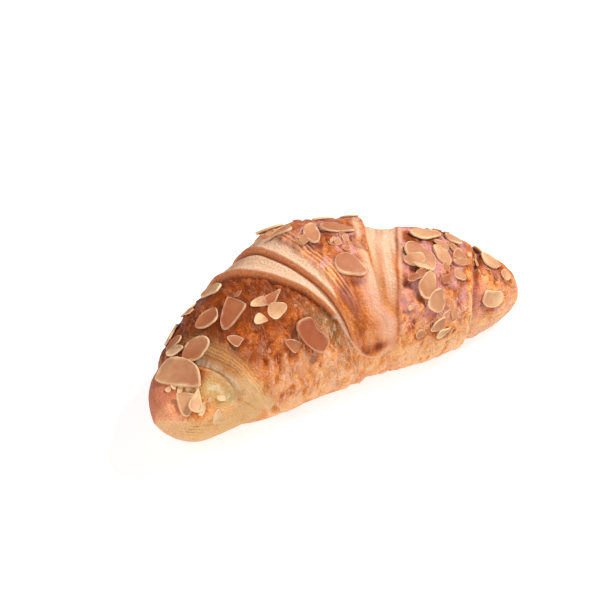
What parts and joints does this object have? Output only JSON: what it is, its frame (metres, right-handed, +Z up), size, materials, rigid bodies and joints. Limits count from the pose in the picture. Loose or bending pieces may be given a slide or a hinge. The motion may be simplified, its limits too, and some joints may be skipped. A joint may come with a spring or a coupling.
{
  "type": "almond croissant",
  "caption": "Baked almond croissant: a slightly bent roll of laminated dough with stepped wraps, lower rounded ends and sliced almonds on its crust, resting on a flat base",
  "frame": {"origin": "Middle of the outline box in plan, on the surface that the croissant rests on.", "axes": "+X runs along the roll towards its slimmer end, +Z is up, and -Y is the front, where the outer wrap's tip lies."},
  "size_m": [0.168, 0.0698, 0.0624],
  "materials": {
    "crust": "browned laminated crust with a thin uneven glaze, pale where the layers show",
    "almond": "toasted sliced almond, tan inside a cream rim"
  },
  "bodies": {
    "root": {"croissant": "crust"}
  },
  "joints": []
}
